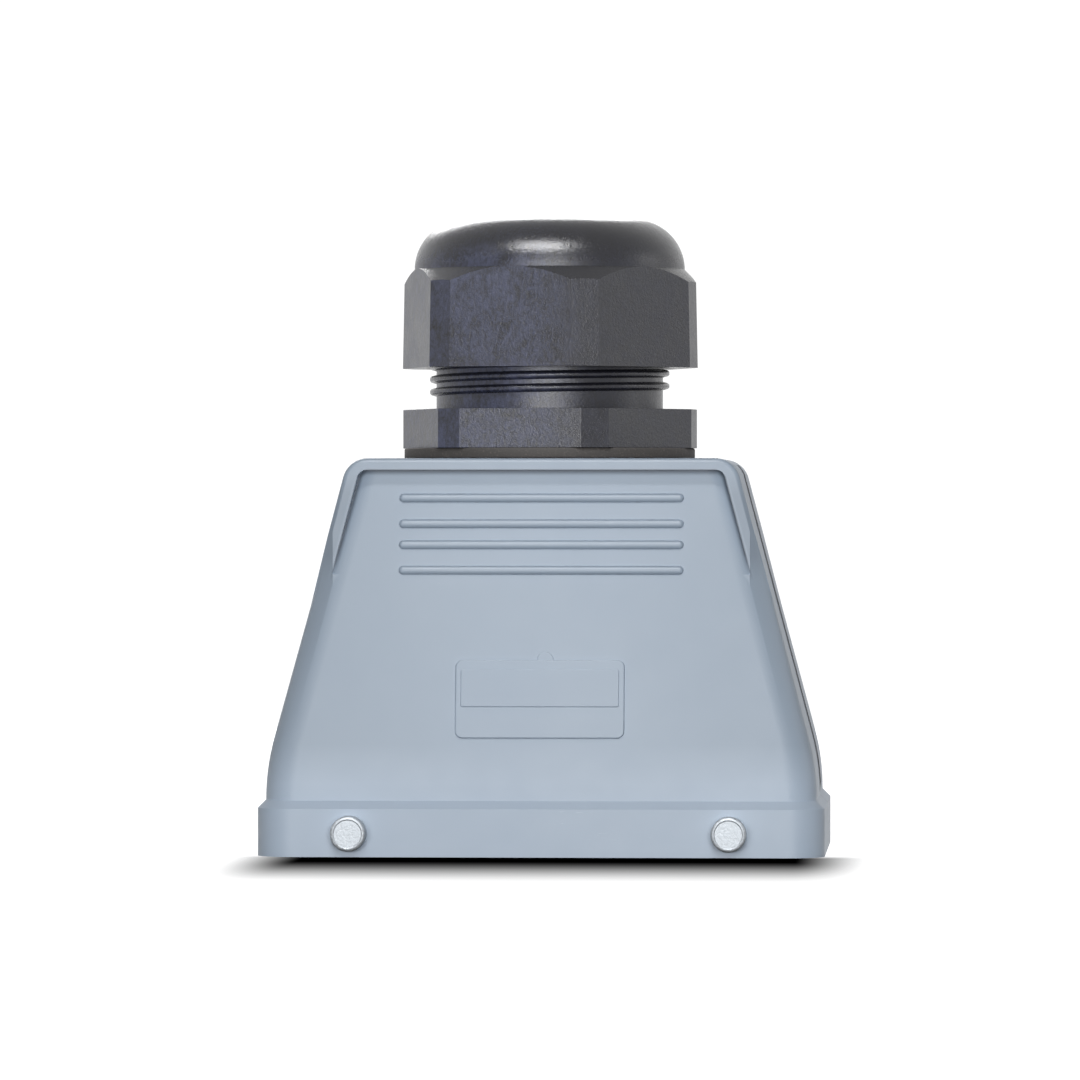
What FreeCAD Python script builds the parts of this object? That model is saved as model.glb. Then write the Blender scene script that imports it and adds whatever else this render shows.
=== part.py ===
import FreeCAD, Part
import os
import Sketcher
from FreeCAD import Rotation, Vector

# A 48-pole heavy duty rectangular connector: a die-cast hood with four locking pegs, two 24-pole
# pin inserts side by side in its open bottom, and a large cable gland on its roof.
# Millimetres, +Z up. The origin is the centre of the rim that the hood stands on, X runs along
# the long side, and the front with the ribs looks towards -Y.

SIZES = {
    # hood: rim flange and tapered walls
    "flange_length": 132.0,
    "flange_depth": 90.0,
    "flange_height": 13.0,
    "flange_chamfer": 1.85,
    "flange_corner_radius": 8.5,
    "body_corner_radius": 7.5,
    "bend_height": 20.4,
    "bend_reach": 7.0,
    "hood_height": 92.5,
    "side_lean": 0.2649,
    "panel_lean": 0.1491,
    "wall": 3.5,
    "roof_wall": 4.5,
    # hood: the raised crown, the strap that carries the gland and frames both ribbed panels
    "crown_depth": 72.4,
    "crown_bottom": 58.5,
    "crown_corner_radius": 6.0,
    "crown_edge_radius": 1.2,
    "crown_taper_height": 19.5,
    "crown_taper_foot": 5.5,
    "crown_taper_tip": 0.3,
    "rim_end_height": 65.4,
    "rim_side_width": 3.4,
    "rim_top_width": 2.8,
    "rim_inner_radius": 2.0,
    # hood: grip ribs on both panels
    "rib_length": 66.4,
    "rib_radius": 1.05,
    "rib_height_a": 83.2,
    "rib_height_b": 77.2,
    "rib_height_c": 72.3,
    "rib_height_d": 66.4,
    # hood: gland boss and insert bosses
    "gland_boss_radius": 33.5,
    "gland_boss_height": 12.5,
    "insert_boss_radius": 4.4,
    "insert_boss_plane": 24.0,
    "insert_thread_radius": 2.1,
    "insert_thread_depth": 12.0,
    # locking pegs
    "peg_inset": 22.0,
    "peg_height": 5.55,
    "peg_radius": 4.1,
    "peg_reach": 5.0,
    "peg_chamfer": 0.7,
    "peg_root": 4.6,
    "peg_tail_radius": 3.4,
    # cable gland: washer and screwed-in body
    "washer_thickness": 2.5,
    "washer_outer_radius": 34.5,
    "entry_thread_radius": 29.65,
    "entry_thread_length": 11.8,
    "entry_bore_radius": 26.0,
    "gland_hex_height": 9.2,
    "gland_hex_flat_radius": 32.0,
    "gland_hex_flat_half": 14.6,
    "gland_hex_turn": -9.4,
    "shank_radius": 27.0,
    "shank_length": 21.8,
    "passage_radius": 21.5,
    "cage_seat_height": 12.5,
    "cage_bore_radius": 25.0,
    # cable gland: dome nut
    "nut_gap": 9.8,
    "nut_height": 35.2,
    "nut_flat_radius": 32.5,
    "nut_flat_half": 14.8,
    "nut_draft": 1.0,
    "nut_turn": -13.5,
    "nut_hex_top": 23.4,
    "dome_radius": 32.1,
    "dome_edge_radius": 11.8,
    "dome_edge_steps": 6,
    "dome_cut_reach": 10.0,
    "thread_major_radius": 28.5,
    "nut_opening_radius": 19.8,
    "nut_opening_edge": 0.4,
    # cable gland: clamping cage and seal
    "cage_lift": 3.0,
    "cage_wall": 1.5,
    "cage_lip": 1.0,
    "cage_lip_height": 1.5,
    "cage_cone_start": 21.4,
    "cage_cone_height": 4.4,
    "cage_cone_run": 4.4,
    "finger_count": 12,
    "finger_slot_width": 1.6,
    "finger_slot_start": 12.0,
    "seal_bore_radius": 18.5,
    "seal_height": 18.9,
    # pin inserts
    "insert_side_gap": 9.5,
    "insert_middle_gap": 3.0,
    "ear_inset": 10.5,
    "insert_ear_thickness": 3.0,
    "block_inset": 23.0,
    "insert_block_height": 14.0,
    "shroud_inset": 20.0,
    "shroud_edge": 5.0,
    "shroud_wall": 1.6,
    "shroud_corner_radius": 3.0,
    "shroud_depth": 17.0,
    "cavity_depth": 16.0,
    "fixing_inset": 14.0,
    "fixing_edge": 3.5,
    "fixing_hole_radius": 2.2,
    "contact_count": 12,
    "contact_inset": 29.7,
    "contact_row": 6.25,
    "contact_radius": 1.25,
    "contact_recess": 2.5,
    "chamber_rib": 1.4,
    "chamber_inner": 4.0,
    "chamber_wall": 1.4,
    "chamber_floor": 6.0,
    "terminal_height": 8.0,
    "screw_pocket_side": 4.4,
    "screw_pocket_depth": 2.4,
    "screw_pocket_edge": 2.5,
    # earth contacts and screws
    "earth_plate_thickness": 0.8,
    "earth_plate_width": 11.0,
    "earth_plate_inset": 11.0,
    "earth_tab_height": 11.0,
    "earth_screw_inset": 14.4,
    "earth_head_radius": 3.4,
    "earth_head_height": 2.2,
    "earth_shank_radius": 1.9,
    "earth_shank_length": 8.0,
    "fixing_head_radius": 3.5,
    "fixing_head_height": 2.6,
    "fixing_shank_radius": 1.9,
    "fixing_shank_length": 11.0,
    "screw_slot_width": 1.0,
    "screw_slot_depth": 1.1,
    # flats on the small round pieces that repeat, and on their holes
    "small_sides": 8,
    "head_sides": 12,
    # clearances
    "running_clearance": 0.3,
    "thread_clearance": 0.1,
    "fit_clearance": 0.05,
    # how far a cutting tool passes the face it opens, and a root reaches into what carries it
    "overrun": 1.0,
}

FOUR_CORNERS = (("front_left", -1, -1), ("front_right", 1, -1), ("rear_left", -1, 1), ("rear_right", 1, 1))

doc = FreeCAD.newDocument("rectangular_connector")
sheet = doc.addObject("Spreadsheet::Sheet", "Sizes")
for row, (name, number) in enumerate(SIZES.items(), start=1):
    sheet.set("A%d" % row, name)
    sheet.set("B%d" % row, str(number))
    sheet.setAlias("B%d" % row, name)
doc.recompute()


class Size:
    # A value together with the spreadsheet expression that gives it.

    def __init__(self, text, value):
        self.text = text
        self.value = value

    def __add__(self, other):
        other = as_size(other)
        return Size("(%s + %s)" % (self.text, other.text), self.value + other.value)

    def __radd__(self, other):
        return as_size(other) + self

    def __sub__(self, other):
        other = as_size(other)
        return Size("(%s - %s)" % (self.text, other.text), self.value - other.value)

    def __rsub__(self, other):
        return as_size(other) - self

    def __mul__(self, other):
        other = as_size(other)
        return Size("(%s * %s)" % (self.text, other.text), self.value * other.value)

    def __rmul__(self, other):
        return as_size(other) * self

    def __truediv__(self, other):
        other = as_size(other)
        return Size("(%s / %s)" % (self.text, other.text), self.value / other.value)

    def __neg__(self):
        return Size("(0 - %s)" % self.text, -self.value)

    def root(self):
        return Size("sqrt(%s)" % self.text, self.value ** 0.5)


def as_size(number):
    if isinstance(number, Size):
        return number
    text = "%.9f" % abs(number)
    return Size("(0 - %s)" % text if number < 0 else text, float(number))


def size(name):
    return Size("Sizes." + name, float(sheet.get(name)))


def bind(thing, prop, amount):
    # Sets a property of a document object to a size and keeps it tied to the sheet.
    thing.setExpression(prop, as_size(amount).text)


# ---- sketches ----

def sketch_on(body, name, role, height=0):
    # A sketch on one of the body's own origin planes, moved along that plane's normal.
    sketch = body.newObject("Sketcher::SketchObject", name)
    plane = [f for f in body.Origin.OriginFeatures if f.Role == role][0]
    sketch.AttachmentSupport = (plane, [""])
    sketch.MapMode = "FlatFace"
    bind(sketch, "AttachmentOffset.Base.z", height)
    return sketch


def fix_point(sketch, edge, point, x, y):
    for kind, amount in (("DistanceX", as_size(x)), ("DistanceY", as_size(y))):
        index = sketch.addConstraint(Sketcher.Constraint(kind, -1, 1, edge, point, amount.value))
        bind(sketch, "Constraints[%d]" % index, amount)


def polygon(sketch, corners):
    # A closed outline of straight lines with every corner placed from the sheet.
    places = [Vector(as_size(x).value, as_size(y).value, 0) for x, y in corners]
    first = sketch.GeometryCount
    count = len(corners)
    for i in range(count):
        sketch.addGeometry(Part.LineSegment(places[i], places[(i + 1) % count]), False)
    for i in range(count):
        sketch.addConstraint(Sketcher.Constraint("Coincident", first + i, 2, first + (i + 1) % count, 1))
        fix_point(sketch, first + i, 1, corners[i][0], corners[i][1])


def rectangle(sketch, x_low, x_high, y_low, y_high):
    polygon(sketch, [(x_low, y_low), (x_high, y_low), (x_high, y_high), (x_low, y_high)])


def circle(sketch, x, y, radius):
    x, y, radius = as_size(x), as_size(y), as_size(radius)
    edge = sketch.addGeometry(Part.Circle(Vector(x.value, y.value, 0), Vector(0, 0, 1), radius.value), False)
    index = sketch.addConstraint(Sketcher.Constraint("Radius", edge, radius.value))
    bind(sketch, "Constraints[%d]" % index, radius)
    fix_point(sketch, edge, 3, x, y)


def many_sided(sketch, x, y, radius):
    # A small round outline, drawn with flats.
    sides = int(sheet.get("small_sides"))
    corners = []
    for step in range(sides):
        arm = Rotation(Vector(0, 0, 1), 360 * (step + 0.5) / sides).multVec(Vector(1, 0, 0))
        corners.append((x + radius * arm.x, y + radius * arm.y))
    polygon(sketch, corners)


def flatted_hexagon(sketch, flat_radius, flat_half):
    # A hexagon whose corners are cut off: six wide flats and six narrow ones.
    corners = []
    for step in range(6):
        turn = Rotation(Vector(0, 0, 1), 60 * step)
        normal = turn.multVec(Vector(0, -1, 0))
        along = turn.multVec(Vector(1, 0, 0))
        for side in (-1, 1):
            x = flat_radius * normal.x + flat_half * (side * along.x)
            y = flat_radius * normal.y + flat_half * (side * along.y)
            corners.append((x, y))
    polygon(sketch, corners)


# ---- features ----

def recomputed(feature):
    doc.recompute()
    if "Invalid" in feature.State or feature.Shape.isNull():
        raise ValueError("%s failed" % feature.Name)
    return feature


def new_body(name):
    return doc.addObject("PartDesign::Body", name)


def pad(body, name, sketch, length, midplane=False, taper=0):
    feature = body.newObject("PartDesign::Pad", name)
    feature.Profile = sketch
    feature.Midplane = midplane
    bind(feature, "Length", length)
    bind(feature, "TaperAngle", taper)
    return recomputed(feature)


def pocket(body, name, sketch, length=None, midplane=False, backwards=False):
    feature = body.newObject("PartDesign::Pocket", name)
    feature.Profile = sketch
    feature.Midplane = midplane
    feature.Reversed = backwards
    if length is None:
        feature.Type = "ThroughAll"
    else:
        bind(feature, "Length", length)
    return finished_cut(feature)


def finished_cut(feature):
    # A cut that points away from the solid takes nothing and shows no error.
    before = feature.BaseFeature.Shape.Volume
    if recomputed(feature).Shape.Volume > before - 0.01:
        raise ValueError("%s cuts nothing" % feature.Name)
    return feature


def revolution(body, name, sketch, axis="V_Axis"):
    feature = body.newObject("PartDesign::Revolution", name)
    feature.Profile = sketch
    feature.ReferenceAxis = (sketch, [axis])
    feature.Angle = 360
    return recomputed(feature)


def groove(body, name, sketch):
    feature = body.newObject("PartDesign::Groove", name)
    feature.Profile = sketch
    feature.ReferenceAxis = (sketch, ["V_Axis"])
    feature.Angle = 360
    return finished_cut(feature)


def lofted_cut(body, name, sections):
    feature = body.newObject("PartDesign::SubtractiveLoft", name)
    feature.Profile = sections[0]
    feature.Sections = sections[1:]
    feature.Ruled = True
    return finished_cut(feature)


def mirrored(body, name, originals, role):
    feature = body.newObject("PartDesign::Mirrored", name)
    feature.Originals = originals
    feature.MirrorPlane = ([f for f in body.Origin.OriginFeatures if f.Role == role][0], [""])
    body.Tip = feature
    return recomputed(feature)


def edges_where(feature, test):
    # Names of the edges whose middle passes the test.
    found = []
    for number, edge in enumerate(feature.Shape.Edges, start=1):
        if test(edge.valueAt((edge.FirstParameter + edge.LastParameter) / 2)):
            found.append("Edge%d" % number)
    if not found:
        raise ValueError("no edge found on %s" % feature.Name)
    return found


def fillet(body, name, base, test, radius):
    feature = body.newObject("PartDesign::Fillet", name)
    feature.Base = (base, edges_where(base, test))
    bind(feature, "Radius", radius)
    return recomputed(feature)


def chamfer(body, name, base, test, amount):
    feature = body.newObject("PartDesign::Chamfer", name)
    feature.Base = (base, edges_where(base, test))
    bind(feature, "Size", amount)
    return recomputed(feature)


def near(a, b, tolerance=0.02):
    return abs(a - as_size(b).value) < tolerance


def cylinder(name, radius, length, place, direction=(0, 0, 1)):
    # A Part cylinder from a place given in sizes, along one of the main directions.
    feature = doc.addObject("Part::Cylinder", name)
    bind(feature, "Radius", radius)
    bind(feature, "Height", length)
    feature.Placement.Rotation = Rotation(Vector(0, 0, 1), Vector(*direction))
    for axis, amount in zip("xyz", place):
        bind(feature, "Placement.Base." + axis, amount)
    return feature


def prism(name, sides, radius, length, place):
    # An upright Part prism, for the small round pieces that repeat.
    feature = doc.addObject("Part::Prism", name)
    bind(feature, "Polygon", sides)
    bind(feature, "Circumradius", radius)
    bind(feature, "Height", length)
    for axis, amount in zip("xyz", place):
        bind(feature, "Placement.Base." + axis, amount)
    return feature


def box(name, low, high):
    # A Part box between two corners given in sizes.
    feature = doc.addObject("Part::Box", name)
    for axis, side, start, end in zip("xyz", ("Length", "Width", "Height"), low, high):
        bind(feature, side, end - start)
        bind(feature, "Placement.Base." + axis, start)
    return feature


def joined(name, pieces):
    feature = doc.addObject("Part::MultiFuse", name)
    feature.Shapes = pieces
    return feature


def cut_from(name, base, tool):
    feature = doc.addObject("Part::Cut", name)
    feature.Base = base
    feature.Tool = tool
    return feature


sub_parts = []
overrun = size("overrun")


def keep(name, feature, lift=0):
    # Names a finished sub-part and raises it to its own height.
    feature.Label = name
    bind(feature, "Placement.Base.z", lift)
    sub_parts.append(feature)
    return feature


# ---- hood ----

flange_half_length = size("flange_length") / 2
flange_half_depth = size("flange_depth") / 2
body_half_length = flange_half_length - size("flange_chamfer")
body_half_depth = flange_half_depth - size("flange_chamfer")
side_slope = size("side_lean")
panel_slope = size("panel_lean")
peg_x = flange_half_length - size("peg_inset")

# the two inserts lie side by side in the open bottom, each with four fixing screws
insert_half_width = (flange_half_depth - size("insert_side_gap") - size("insert_middle_gap") / 2) / 2
insert_centre = insert_half_width + size("insert_middle_gap") / 2
fixing_x = flange_half_length - size("fixing_inset")
fixing_y = insert_half_width - size("fixing_edge")


def side_at(height):
    # Half the length of the tapered walls at a height above the bend.
    return body_half_length - side_slope * (height - size("bend_height"))


def panel_at(height):
    # Half the depth between the front and rear panels at a height above the bend.
    return body_half_depth - panel_slope * (height - size("bend_height"))


def bend_radius(slope):
    # The radius that rounds a bend of this slope over the common reach.
    return size("bend_reach") * slope / ((slope * slope + 1).root() - 1)


def tapered_walls(body, prefix, inset, bottom, top, rounded):
    # Walls that stand upright up to the bend, then lean inwards on all four sides.
    lower_x = body_half_length - inset
    lower_y = body_half_depth - inset
    upper_x = side_at(top) - inset
    upper_y = panel_at(top) - inset
    bend = size("bend_height")

    front = sketch_on(body, prefix + "_front_outline", "XZ_Plane")
    polygon(front, [(-lower_x, bottom), (lower_x, bottom), (lower_x, bend),
                    (upper_x, top), (-upper_x, top), (-lower_x, bend)])
    block = pad(body, prefix + "_block", front, (lower_y + overrun) * 2, midplane=True)
    if rounded:
        fillet(body, prefix + "_side_bends", block,
               lambda p: near(p.z, bend) and near(abs(p.x), lower_x), bend_radius(side_slope))

    side = sketch_on(body, prefix + "_side_outline", "YZ_Plane")
    polygon(side, [(-lower_y, bottom), (lower_y, bottom), (lower_y, bend),
                   (upper_y, top), (-upper_y, top), (-lower_y, bend)])
    beyond = lower_y + overrun * 2
    rectangle(side, -beyond, beyond, bottom - overrun, top + overrun)
    pocket(body, prefix + "_panels", side, midplane=True)
    if rounded:
        fillet(body, prefix + "_panel_bends", body.Tip,
               lambda p: near(p.z, bend) and near(abs(p.y), lower_y), bend_radius(panel_slope))

    def on_corner(p):
        lean = max(0.0, p.z - bend.value)
        x = lower_x.value - side_slope.value * lean
        y = lower_y.value - panel_slope.value * lean
        return near(abs(p.x), x, tolerance=1.0) and near(abs(p.y), y, tolerance=1.0)

    if rounded:
        fillet(body, prefix + "_corners", body.Tip, on_corner, size("body_corner_radius"))


def hood_crown(body):
    # The strap over the roof: its ends lie flush with the sloping sides, and its two edges
    # stand proud of the panels until the panels reach them.
    half_depth = size("crown_depth") / 2
    bottom = size("crown_bottom")
    roof = size("hood_height")
    corner = size("crown_corner_radius")
    roof_half_length = side_at(roof)
    outline = sketch_on(body, "crown_outline", "XZ_Plane")
    polygon(outline, [(-side_at(bottom), bottom), (side_at(bottom), bottom),
                      (roof_half_length, roof), (-roof_half_length, roof)])
    strap = pad(body, "crown_strap", outline, size("crown_depth"), midplane=True)
    rounded = fillet(body, "crown_corners", strap,
                     lambda p: near(p.z, roof) and near(abs(p.x), roof_half_length), corner)
    fillet(body, "crown_edges", rounded,
           lambda p: near(abs(p.y), half_depth) and p.z > (bottom + overrun).value,
           size("crown_edge_radius"))


def crown_tapers(body):
    # Cuts the strap's four upright corners off more and more towards their foot, so that they
    # sink into the round corners of the walls.
    foot = size("crown_bottom")
    tip = foot + size("crown_taper_height")
    for name, x_side, y_side in FOUR_CORNERS:
        sections = []
        for height, leg in ((foot, size("crown_taper_foot")), (tip, size("crown_taper_tip"))):
            x_out = side_at(height) + overrun
            y_out = size("crown_depth") / 2 + overrun
            reach = leg + overrun * 2
            section = sketch_on(body, "taper_outline_" + name, "XY_Plane", height)
            polygon(section, [((x_out - reach) * x_side, y_out * y_side),
                              (x_out * x_side, y_out * y_side),
                              (x_out * x_side, (y_out - reach) * y_side)])
            sections.append(section)
        lofted_cut(body, "crown_taper_" + name, sections)


def hood_recesses(body):
    # Opens the strap's edges into frames: a wedge between each panel and the strap's face.
    low = size("rim_end_height")
    high = size("hood_height") - size("rim_top_width")
    for side, sign in (("front", -1), ("rear", 1)):
        sections = []
        for name, height in (("low", low), ("high", high)):
            half = side_at(height) - size("rim_side_width")
            inner = (panel_at(height) - overrun) * sign
            section = sketch_on(body, "recess_%s_%s" % (side, name), "XY_Plane", height)
            rectangle(section, -half, half, inner, (size("crown_depth") / 2 + overrun) * sign)
            sections.append(section)
        lofted_cut(body, "recess_" + side, sections)
    half = side_at(high) - size("rim_side_width")
    return fillet(body, "recess_corners", body.Tip,
                  lambda p: near(abs(p.x), half) and near(p.z, high), size("rim_inner_radius"))


def hood_ribs(body):
    # Half-round grip ribs with sloping ends, sunk to their middle in both panels.
    half = size("rib_length") / 2
    radius = size("rib_radius")
    end = half - radius
    ribs = []
    for letter in "abcd":
        height = size("rib_height_" + letter)
        sketch = sketch_on(body, "rib_outline_" + letter, "XZ_Plane", panel_at(height))
        bind(sketch, "AttachmentOffset.Base.y", height)
        polygon(sketch, [(-half, 0), (half, 0), (end, radius), (-end, radius)])
        ribs.append(revolution(body, "rib_" + letter, sketch, "H_Axis"))
    mirrored(body, "rear_ribs", ribs, "XZ_Plane")


def hood_flange(body):
    # The thick rim flange that stands on the mating housing, with its sloping shoulder.
    outline = sketch_on(body, "flange_outline", "XY_Plane")
    rectangle(outline, -flange_half_length, flange_half_length, -flange_half_depth, flange_half_depth)
    plate = pad(body, "flange_plate", outline, size("flange_height"))
    rounded = fillet(body, "flange_corners", plate,
                     lambda p: near(abs(p.x), flange_half_length) and near(abs(p.y), flange_half_depth),
                     size("flange_corner_radius"))
    return chamfer(body, "flange_shoulder", rounded,
                   lambda p: near(p.z, size("flange_height")), size("flange_chamfer"))


def fixing_places():
    # Centres of the eight insert screws: four for each of the two inserts.
    for insert_side in (-1, 1):
        for x_side in (-1, 1):
            for y_side in (-1, 1):
                y = insert_centre * insert_side + fixing_y * y_side
                yield insert_side, x_side, y_side, fixing_x * x_side, y


def make_hood():
    roof = size("hood_height")
    flange = new_body("flange")
    hood_flange(flange)
    walls = new_body("walls")
    tapered_walls(walls, "walls", as_size(0), size("flange_height") - size("flange_chamfer") - overrun,
                  roof - size("rim_top_width") / 2, True)
    hood_ribs(walls)
    crown = new_body("crown")
    hood_crown(crown)
    crown_tapers(crown)
    hood_recesses(crown)
    skin = joined("hood_skin", [flange, walls, crown])

    cavity = new_body("cavity")
    ceiling = roof - size("roof_wall")
    tapered_walls(cavity, "cavity", size("wall"), -overrun, ceiling, False)
    boss_bottom = roof - size("gland_boss_height")
    boss = sketch_on(cavity, "gland_boss_outline", "XY_Plane", boss_bottom)
    circle(boss, 0, 0, size("gland_boss_radius"))
    pocket(cavity, "gland_boss", boss, backwards=True)
    columns = sketch_on(cavity, "insert_boss_outlines", "XY_Plane", size("insert_boss_plane"))
    for insert_side, x_side, y_side, x, y in fixing_places():
        many_sided(columns, x, y, size("insert_boss_radius"))
    pocket(cavity, "insert_bosses", columns, backwards=True)

    tools = [cavity]
    tools.append(cylinder("gland_hole", size("entry_thread_radius") + size("thread_clearance"),
                          size("gland_boss_height") + overrun * 2, (0, 0, boss_bottom - overrun)))
    for name, x_side, y_side in FOUR_CORNERS:
        start = (flange_half_depth - size("peg_root")) * y_side
        tools.append(cylinder("peg_hole_" + name, size("peg_tail_radius"), size("peg_root") + overrun,
                              (peg_x * x_side, start, size("peg_height")), (0, y_side, 0)))
    for insert_side, x_side, y_side, x, y in fixing_places():
        tools.append(prism("insert_thread", size("small_sides"), size("insert_thread_radius"),
                           size("insert_thread_depth") + overrun,
                           (x, y, size("insert_boss_plane") - overrun)))
    shell = cut_from("hood_casting", skin, joined("hood_hollows", tools))
    return keep("hood_shell", shell)


def make_pegs():
    # Steel locking pegs: a tail pressed into a blind seat in the flange, a shoulder that stands
    # on its face, and a round bright head.
    for name, x_side, y_side in FOUR_CORNERS:
        peg = new_body("peg_" + name)
        outline = sketch_on(peg, "peg_outline_" + name, "XZ_Plane")
        radius = size("peg_radius")
        tail = size("peg_tail_radius")
        head = size("peg_reach")
        edge = size("peg_chamfer")
        polygon(outline, [(0, -size("peg_root")), (tail, -size("peg_root")), (tail, 0), (radius, 0),
                          (radius, head - edge), (radius - edge, head), (0, head)])
        revolution(peg, "peg_turned_" + name, outline)
        peg.Placement.Rotation = Rotation(Vector(0, 0, 1), Vector(0, y_side, 0))
        bind(peg, "Placement.Base.x", peg_x * x_side)
        bind(peg, "Placement.Base.y", flange_half_depth * y_side)
        keep("locking_peg_" + name, peg, size("peg_height"))


# ---- cable gland ----

gland_seat = size("hood_height") + size("washer_thickness")
shank_top = size("gland_hex_height") + size("shank_length")
nut_bottom = gland_seat + size("gland_hex_height") + size("nut_gap")
cage_bottom = nut_bottom + size("cage_lift")
cage_outer = size("cage_bore_radius") - size("running_clearance")
cage_inner = cage_outer - size("cage_wall")


def make_washer():
    washer = new_body("washer")
    outline = sketch_on(washer, "washer_outline", "XY_Plane")
    circle(outline, 0, 0, size("washer_outer_radius"))
    circle(outline, 0, 0, size("entry_thread_radius") + size("running_clearance"))
    pad(washer, "washer_ring", outline, size("washer_thickness"))
    keep("gland_sealing_washer", washer, size("hood_height"))


def make_gland_body():
    # One moulding: the thread that screws into the roof, a flange hexagon, and the upper shank.
    gland = new_body("gland")
    hexagon = sketch_on(gland, "gland_hexagon", "XY_Plane")
    flatted_hexagon(hexagon, size("gland_hex_flat_radius"), size("gland_hex_flat_half"))
    pad(gland, "gland_hex_block", hexagon, size("gland_hex_height"))

    entry = size("entry_thread_radius")
    entry_end = -(size("washer_thickness") + size("entry_thread_length"))
    shank = size("shank_radius")
    outside = sketch_on(gland, "gland_shank_outline", "XZ_Plane")
    polygon(outside, [(0, entry_end), (entry, entry_end), (entry, overrun), (shank, overrun),
                      (shank, shank_top), (0, shank_top)])
    revolution(gland, "gland_shank", outside)

    entry_bore = size("entry_bore_radius")
    passage = size("passage_radius")
    seat = size("cage_seat_height")
    inside = sketch_on(gland, "gland_bore_outline", "XZ_Plane")
    polygon(inside, [(0, entry_end - overrun), (entry_bore, entry_end - overrun), (entry_bore, 0),
                     (passage, 0), (passage, seat), (size("cage_bore_radius"), seat),
                     (size("cage_bore_radius"), shank_top + overrun), (0, shank_top + overrun)])
    groove(gland, "gland_bore", inside)
    bind(gland, "Placement.Rotation.Angle", size("gland_hex_turn"))
    keep("gland_body", gland, gland_seat)


def make_dome_nut():
    # The cap nut: drafted flats, a 45 degree turned edge, a crown rounded in steps, and inside it
    # the thread bore and the cone that closes the cage.
    nut = new_body("nut")
    height = size("nut_height")
    hexagon = sketch_on(nut, "nut_hexagon", "XY_Plane")
    flatted_hexagon(hexagon, size("nut_flat_radius"), size("nut_flat_half"))
    pad(nut, "nut_block", hexagon, height, taper=-size("nut_draft"))

    edge = size("dome_edge_radius")
    crown_start = size("dome_radius") - edge
    far = size("dome_radius") + size("dome_cut_reach")
    low = size("nut_hex_top") - size("dome_cut_reach")
    corners = [(crown_start, height + overrun), (far, height + overrun), (far, low)]
    steps = int(sheet.get("dome_edge_steps"))
    for step in range(steps + 1):
        arm = Rotation(Vector(0, 0, 1), 90 * step / steps).multVec(Vector(1, 0, 0))
        corners.append((crown_start + edge * arm.x, height - edge + edge * arm.y))
    turned = sketch_on(nut, "nut_dome_outline", "XZ_Plane")
    polygon(turned, corners)
    groove(nut, "nut_dome", turned)

    bore = size("thread_major_radius") + size("running_clearance")
    throat = cage_outer + size("running_clearance")
    opening = size("nut_opening_radius")
    slope = size("cage_cone_height") / size("cage_cone_run")
    cage_tip = size("cage_lift") + size("cage_cone_start") + size("running_clearance")
    cone_start = cage_tip - (bore - throat) * slope
    cone_end = cage_tip + (throat - opening) * slope
    inside = sketch_on(nut, "nut_bore_outline", "XZ_Plane")
    polygon(inside, [(0, -overrun), (bore, -overrun), (bore, cone_start), (opening, cone_end),
                     (opening, height + overrun), (0, height + overrun)])
    groove(nut, "nut_bore", inside)
    chamfer(nut, "nut_opening", nut.Tip,
            lambda p: near(Vector(p.x, p.y, 0).Length, opening) and p.z > (cone_end + overrun).value,
            size("nut_opening_edge"))
    bind(nut, "Placement.Rotation.Angle", size("nut_turn"))
    keep("dome_nut", nut, nut_bottom)


def make_cage():
    # The clamping cage: a ring in the shank's bore that splits into springy fingers with
    # sloping tips, which the cone in the dome nut presses inwards.
    cage = new_body("cage")
    start = size("cage_cone_start")
    top = start + size("cage_cone_height")
    run = size("cage_cone_run")
    lip = cage_inner - size("cage_lip")
    outline = sketch_on(cage, "cage_outline", "XZ_Plane")
    polygon(outline, [(lip, 0), (cage_outer, 0), (cage_outer, start), (cage_outer - run, top),
                      (cage_outer - run - size("cage_wall"), top),
                      (cage_inner, start - size("cage_wall") / 2), (cage_inner, size("cage_lip_height")),
                      (lip, size("cage_lip_height"))])
    revolution(cage, "cage_ring", outline)
    half = size("finger_slot_width") / 2
    slot_outline = sketch_on(cage, "finger_slot_outline", "XZ_Plane")
    rectangle(slot_outline, -half, half, size("finger_slot_start"), top + overrun)
    slot = pocket(cage, "finger_slot", slot_outline)
    slots = cage.newObject("PartDesign::PolarPattern", "finger_slots")
    slots.Originals = [slot]
    slots.Axis = ([f for f in cage.Origin.OriginFeatures if f.Role == "Z_Axis"][0], [""])
    slots.Angle = 360
    bind(slots, "Occurrences", size("finger_count"))
    cage.Tip = slots
    doc.recompute()
    keep("clamp_cage", cage, cage_bottom)


def make_seal():
    # The rubber sleeve inside the cage, standing on the cage's lip.
    seal = new_body("seal")
    bore = size("seal_bore_radius")
    outer = cage_inner - size("fit_clearance")
    height = size("seal_height")
    outline = sketch_on(seal, "seal_outline", "XZ_Plane")
    polygon(outline, [(bore, 0), (outer, 0), (outer, height), (bore, height)])
    revolution(seal, "seal_sleeve", outline)
    keep("cable_seal", seal, cage_bottom + size("cage_lip_height"))


# ---- pin inserts ----

ear_bottom = size("insert_boss_plane") - size("insert_ear_thickness")
shroud_bottom = ear_bottom - size("shroud_depth")
cavity_floor = shroud_bottom + size("cavity_depth")
block_top = size("insert_boss_plane") + size("insert_block_height")
shroud_half_length = flange_half_length - size("shroud_inset")
earth_screw_x = flange_half_length - size("earth_screw_inset")
first_contact = flange_half_length - size("contact_inset")
contact_pitch = first_contact * 2 / (size("contact_count") - 1)
chamber_half = (contact_pitch - size("chamber_rib")) / 2
chamber_outer = insert_half_width - size("chamber_wall")
chamber_floor = ear_bottom + size("chamber_floor")


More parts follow.
